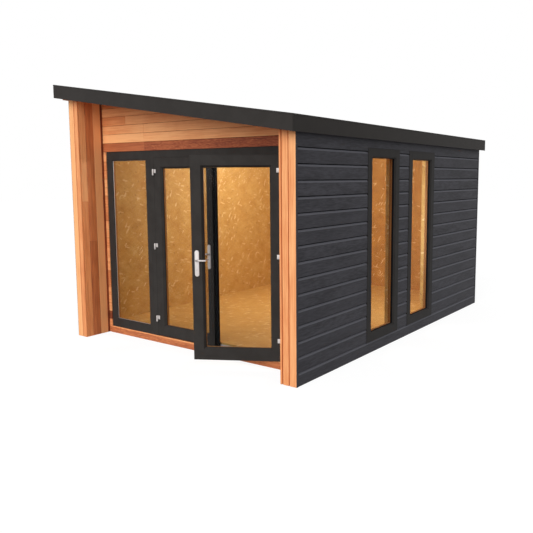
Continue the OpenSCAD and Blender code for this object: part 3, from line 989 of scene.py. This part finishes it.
def spacer(bm, width, height, bars, recess, bright):
    """Bar between the two panes of a sealed unit. Its outer part is bright, and the rest is like timber."""
    start, end = BEAD_W - GLASS_BITE, BEAD_W + 1.5 * MM
    steps = (recess + PANE_T, recess + PANE_T + bright, recess + GLASS_T - PANE_T)
    for skin, (front, rear) in enumerate(zip(steps, steps[1:])):
        if rear > front:
            outline = [(1, start, front), (1, end, front), (1, end, rear), (1, start, rear)]
            ring(bm, width, height, bars, outline, skin)


def add_side_light():
    """Fixed light beside the doors, with a spacer that shows bright."""
    lo, hi = corners("side_light_frame")
    size = hi - lo
    place = Matrix.Translation(lo)
    bars = bmesh.new()
    sash(bars, size.x, size.z, SIDE_BARS, size.y, SIDE_RECESS, SIDE_SLOPE)
    finish_piece("side_light_bars", bars, [frame_grey, gasket, bead_timber],
                 ["side_light_frame"], place=place)
    edge = bmesh.new()
    spacer(edge, size.x, size.z, SIDE_BARS, SIDE_RECESS, SIDE_BRIGHT)
    finish_piece("side_light_spacer", edge, [spacer_silver, bead_timber], place=place)


def add_windows():
    """Two tall windows in the right wall, in one piece each for bars and spacers."""
    depth = window_high.x - window_low.x
    height = window_high.z - window_low.z
    face_right = Matrix.Rotation(math.pi / 2, 4, "Z")
    bars = bmesh.new()
    edge = bmesh.new()
    for start in window_starts:
        place = Matrix.Translation((window_high.x, start, window_low.z)) @ face_right
        for bm, build, settings in ((bars, sash, (depth, WINDOW_RECESS, WINDOW_SLOPE)),
                                    (edge, spacer, (WINDOW_RECESS, 0.0))):
            before = set(bm.verts)
            build(bm, WINDOW_W, height, WINDOW_BARS, *settings)
            bmesh.ops.transform(bm, matrix=place, verts=list(set(bm.verts) - before))
    finish_piece("window_bars", bars, [window_grey_shaded, gasket, timber], ["window_frames"])
    finish_piece("window_spacers", edge, [spacer_silver, timber])


def add_head():
    """Head of the door frame, with a seal on its stop and a strip that closes the gap over the leaves."""
    lo, hi = corners("door_head")
    head_foot = lo.z + STOP_W
    head = bmesh.new()
    prism(head, [(lo.y, hi.z), (lo.y, head_foot), (stop_y, head_foot), (stop_y, lo.z), (hi.y, lo.z),
                 (hi.y, hi.z)], X, lo.x, hi.x)
    round_over(head, head.edges, FRAME_EDGE)
    box(head, (lo.x + STOP_W, stop_y - SEAL_D, lo.z + SEAL_D), (hi.x - STOP_W, stop_y, head_foot - 2 * MM),
        MM, skin=1)
    box(head, (lo.x, lo.y + SEAL_BACK, leaf_top + SEAL_CLEAR), (hi.x, stop_y, head_foot + MM), MM)
    finish_piece("door_head_bar", head, [frame_grey, gasket], ["door_head"])


def add_jamb(side, inward):
    """Jamb of the door frame: its bar, its stop, a strip that closes the gap beside the leaf, and a seal."""
    node = f"door_{side}_jamb"
    lo, hi = corners(node)
    inner, outer = (hi.x, lo.x) if inward > 0 else (lo.x, hi.x)
    face = inner - inward * STOP_W
    leaf_edge = face + inward * (leaf_gap - SEAL_CLEAR)
    seal_start, seal_end = face + inward * 8 * MM, inner - inward * 2 * MM
    seal_foot = lo.z + 26 * MM
    jamb = bmesh.new()
    box(jamb, (outer, lo.y, lo.z), (face, hi.y, hi.z), FRAME_EDGE)
    box(jamb, (face - inward * 3 * MM, stop_y, lo.z), (inner, hi.y, stop_foot), FRAME_EDGE)
    box(jamb, (face - inward * MM, lo.y + SEAL_BACK, lo.z), (leaf_edge, stop_y, leaf_top), MM)
    box(jamb, (seal_start, stop_y - SEAL_D, seal_foot), (seal_end, stop_y, stop_foot), MM, skin=1)
    finish_piece(f"{side}_jamb_bar", jamb, [frame_grey, gasket], [node])


def add_threshold():
    """Bright threshold bar with eased edges."""
    bar = bmesh.new()
    box(bar, *corners("threshold"), FRAME_EDGE)
    finish_piece("threshold_bar", bar, [spacer_silver], ["threshold"])


def add_leaf(side, hang):
    """Leaf frame. The left one carries a lip and a rubber strip on its meeting edge."""
    place = hang @ Matrix.Translation(leaf_at)
    width, depth, height = LEAF_W[side], leaf_size.y, leaf_size.z
    bars = bmesh.new()
    sash(bars, width, height, LEAF_BARS[side], depth, LEAF_RECESS, LEAF_SLOPE)
    if side == "left":
        # The lip and the strip take the black rubber skin: a meeting seal, and painted shade of the deep
        # meeting edge.
        root = width - MM
        box(bars, (root, depth - LIP_T, 0), (width + lip_w, depth, height), FRAME_EDGE, skin=1)
        box(bars, (root, 4 * MM, MM), (width + 1.5 * MM, depth - LIP_T + MM, height - MM), 0.7 * MM, skin=1)
    finish_piece(f"{side}_leaf_bars", bars, [frame_grey, gasket, bead_timber],
                 [f"{side}_leaf"], f"{side}_door", place)
    edge = bmesh.new()
    spacer(edge, width, height, LEAF_BARS[side], LEAF_RECESS, 0.0)
    finish_piece(f"{side}_leaf_spacer", edge, [spacer_silver, bead_timber],
                 (), f"{side}_door", place)


add_side_light()
add_windows()
add_head()
add_jamb("left", 1)
add_jamb("right", -1)
add_threshold()
add_leaf("left", hang_left)
add_leaf("right", hang_right)


# Hardware

def screw(bm, x, y, z, outward):
    """Raised round screw head on a face across y."""
    rod(bm, SCREW_R, (x, y, z), (x, y + outward * SCREW_PROUD, z), 0.5 * MM, 16)


def hinge_flags(side, hang):
    """Upper knuckles with the flags that are screwed to a leaf."""
    bm = bmesh.new()
    flag_end = leaf_at.x + FLAG_W[side]
    flag_y = leaf_at.y - FLAG_T
    for foot in hinge_feet:
        top = foot + HINGE_H
        rod(bm, KNUCKLE_R, (0, 0, top - FLAG_H), (0, 0, top), 1.5 * MM)
        box(bm, (FLAG_ROOT, flag_y, top - FLAG_H), (flag_end, leaf_at.y, top), 2 * MM)
        for share in FLAG_SCREWS:
            screw(bm, flag_end - SCREW_INSET, flag_y, top - FLAG_H * share, -1)
    finish_piece(f"{side}_hinge_flags", bm, [silver], [f"{side}_leaf_hinges"],
                 f"{side}_door", hang, True)


def hinge_lugs():
    """Lower knuckles with the lugs that fix them to the jambs."""
    bm = bmesh.new()
    for axis, outward in ((left_axis, -1), (right_axis, 1)):
        for foot in hinge_feet:
            top = foot + HINGE_H - FLAG_H - KNUCKLE_CLEAR
            rod(bm, KNUCKLE_R, (axis.x, axis.y, foot), (axis.x, axis.y, top), 1.5 * MM)
            lug_end = axis.x + outward * KNUCKLE_R
            box(bm, (axis.x, axis.y, foot), (lug_end, axis.y + leaf_at.y, top), MM)
    finish_piece("hinge_lugs", bm, [silver], ["frame_hinges"], smooth=True)


def long_plate(bm, face_y, outward):
    """Long handle plate with round ends, two screws and a lock cylinder, centred on the spindle."""
    radius = PLATE_W / 2
    centre = PLATE_UP - radius
    straight = PLATE_H - PLATE_W
    place = Matrix.Translation((0, face_y, centre)) @ face_along_y
    disc = bmesh.ops.create_circle(bm, cap_ends=True, segments=48, radius=radius, matrix=place)["verts"]
    middle = [v for v in disc if abs(v.co.z - centre) <= MERGE]
    lower_half = [v for v in disc if v.co.z < centre - MERGE]
    bmesh.ops.translate(bm, vec=(0, 0, -straight), verts=lower_half)
    bmesh.ops.translate(bm, vec=(0, 0, -straight / 2), verts=middle)
    drawn = bmesh.ops.extrude_face_region(bm, geom=[disc[0].link_faces[0]])["geom"]
    moved = only(drawn, BMVert)
    bmesh.ops.translate(bm, vec=(0, outward * PLATE_T, 0), verts=moved)
    rim = {e for v in moved for e in v.link_edges if all(other in moved for other in e.verts)}
    round_over(bm, rim, PLATE_EDGE, 3)
    front = face_y + outward * PLATE_T
    for z in (centre, PLATE_UP - PLATE_H + radius):
        screw(bm, 0, front, z, outward)
    lock = Vector((0, front + outward * LOCK_PROUD, -LOCK_DOWN))
    rod(bm, LOCK_R, (0, front, -LOCK_DOWN), lock, MM)
    box(bm, lock - KEYWAY, lock + KEYWAY, skin=1)


def lever_arm(bm, face_y, outward):
    """Round collar, and a neck that bends into a tapered arm pointing to the hinge side."""
    collar_start = face_y + outward * (PLATE_T + COLLAR_CLEAR)
    collar_end = collar_start + outward * COLLAR_H
    rod(bm, COLLAR_R, (0, collar_start, 0), (0, collar_end, 0), 1.5 * MM, 40)
    neck_start = collar_start + outward * NECK_IN
    neck_end = face_y + outward * (LEVER_OUT - LEVER_BEND)
    place = Matrix.Translation((0, neck_start, 0)) @ face_along_y
    hoop = bmesh.ops.create_circle(bm, cap_ends=True, segments=24, radius=LEVER_R, matrix=place)["verts"]
    edges = list({e for v in hoop for e in v.link_edges})

    def grow(edges, vec):
        drawn = bmesh.ops.extrude_edge_only(bm, edges=edges)["geom"]
        verts = only(drawn, BMVert)
        bmesh.ops.translate(bm, vec=vec, verts=verts)
        return only(drawn, BMEdge), verts

    edges, verts = grow(edges, (0, neck_end - neck_start, 0))
    swept = bmesh.ops.spin(bm, geom=edges, cent=(-LEVER_BEND, neck_end, 0), axis=(0, 0, 1), dvec=(0, 0, 0),
                           angle=-outward * math.pi / 2, steps=8, use_merge=False, use_duplicate=False)
    edges = only(swept["geom_last"], BMEdge)
    reach = LEVER_L - LEVER_BEND
    for share, shrink in LEVER_TAPER:
        edges, verts = grow(edges, (-reach * share, 0, 0))
        tip = sum((v.co for v in verts), Vector()) / len(verts)
        for v in verts:
            v.co = tip + (v.co - tip) * shrink
    bmesh.ops.holes_fill(bm, edges=edges)


def add_handles(side, hang):
    """Plates and levers on both faces of a leaf."""
    place = hang @ Matrix.Translation((leaf_at.x + LEAF_W[side] - BACKSET, 0, left_spindle.z))
    plates = bmesh.new()
    levers = bmesh.new()
    for face_y, outward in ((leaf_at.y, -1), (leaf_at.y + leaf_size.y, 1)):
        long_plate(plates, face_y, outward)
        lever_arm(levers, face_y, outward)
    finish_piece(f"{side}_long_plates", plates, [silver, gasket],
                 [f"{side}_handle_plates"], f"{side}_door", place, True)
    finish_piece(f"{side}_lever_arms", levers, [silver],
                 [f"{side}_lever"], f"{side}_door_lever", place, True)


hinge_lugs()
for side, hang in (("left", hang_left), ("right", hang_right)):
    hinge_flags(side, hang)
    add_handles(side, hang)


# Finishes of the nodes that stay as they are

def dress(skin, *names):
    """Gives nodes a finish."""
    for name in names:
        materials = frame["nodes"][name].data.materials
        materials.clear()
        materials.append(skin)


dress(strands_side, "left_lining", "right_lining")
dress(strands_end, "back_lining", "front_lining")
dress(strands_flat, "floor_deck", "ceiling_lining")
dress(timber, "left_wall", "right_wall", "back_wall")
dress(roof_sheet, "roof_panel")
dress(glass, "side_light_glass", "window_glass", "left_leaf_glass", "right_leaf_glass")


# Stage, light and camera

def seen_directly(finish):
    """1 for what the camera sees directly, in a mirror or through glass."""
    def ray(output):
        return finish.node("LightPath", output=output)
    rays = ray("Is Camera Ray") + ray("Is Glossy Ray") + ray("Is Transmission Ray")
    return finish.math("MINIMUM", rays, 1.0)


def add_floor():
    """Pale floor that shows white with a soft shadow."""
    drop = 2 * MM
    bm = bmesh.new()
    bmesh.ops.create_grid(bm, x_segments=1, y_segments=1, size=40)
    bmesh.ops.translate(bm, vec=(0, 0, -drop), verts=bm.verts)
    mesh = bpy.data.meshes.new("floor")
    bm.to_mesh(mesh)
    bm.free()
    finish = Finish("pale_floor")
    fleck = finish.noise(finish.place(), 30.0, 2.0)
    matt = finish.node("BsdfDiffuse", None,
                       {"Color": finish.mix(fleck, shown(146, 146, 146), shown(154, 154, 154))})
    white = finish.node("Emission", None, {"Color": (1, 1, 1, 1), "Strength": 1.8})
    mixed = finish.node("MixShader", None, {0: seen_directly(finish) * 0.5, 1: matt, 2: white})
    finish.node("OutputMaterial", None, {"Surface": mixed})
    mesh.materials.append(finish.material)
    add_object("floor", mesh)


def set_world(level):
    """White sky that lights the object at a plain level."""
    world = bpy.data.worlds.new("white_sky")
    scene.world = world
    world.use_nodes = True
    sky = Finish("white_sky", world.node_tree)
    strength = level + seen_directly(sky) * (1.0 - level)
    background = sky.node("Background", None, {"Color": (1, 1, 1, 1), "Strength": strength})
    sky.node("OutputWorld", None, {"Surface": background})


def add_lamp(name, kind, place=(0, 0, 0), turn=(0, 0, 0), **settings):
    """Lamp at a place, turned by degrees about each axis, with the settings of its kind. The camera
    doesn't see it."""
    lamp = bpy.data.lights.new(name, kind)
    for key, setting in settings.items():
        setattr(lamp, key, setting)
    holder = add_object(name, lamp)
    holder.location = place
    holder.rotation_euler = [math.radians(degrees) for degrees in turn]
    holder.visible_camera = False


def add_lamps():
    """Soft sun in front, a lamp under the ceiling that shows the room through the glass, and a tall lamp in
    the room that lights the far window's reveal evenly."""
    sun_height, sun_azimuth = 24, 12
    tall_heading = 50
    add_lamp("front_sun", "SUN", turn=(90 - sun_height, 0, sun_azimuth),
             energy=2.15, angle=math.radians(50))
    add_lamp("room_lamp", "POINT", place=(-0.05, 0.0, 2.1), energy=106, shadow_soft_size=0.2)
    add_lamp("corner_lamp", "AREA", place=(0.95, 0.0, 1.25), turn=(90, 0, -tall_heading),
             shape="RECTANGLE", size=0.2, size_y=1.3, energy=14)


def add_camera():
    """Camera at the photo's viewing angle."""
    azimuth, downward = 34.438, 6.469
    camera = bpy.data.cameras.new("camera")
    camera.sensor_width = 36
    camera.lens = 41.05
    camera.shift_x = -0.0979
    camera.shift_y = -0.0394
    holder = add_object("camera", camera)
    holder.location = (4.712851, -6.417093, 1.864976)
    holder.rotation_euler = (math.radians(90 - downward), 0, math.radians(azimuth))
    scene.camera = holder


add_floor()
set_world(0.56)
add_lamps()
add_camera()
scene.view_settings.view_transform = "Standard"
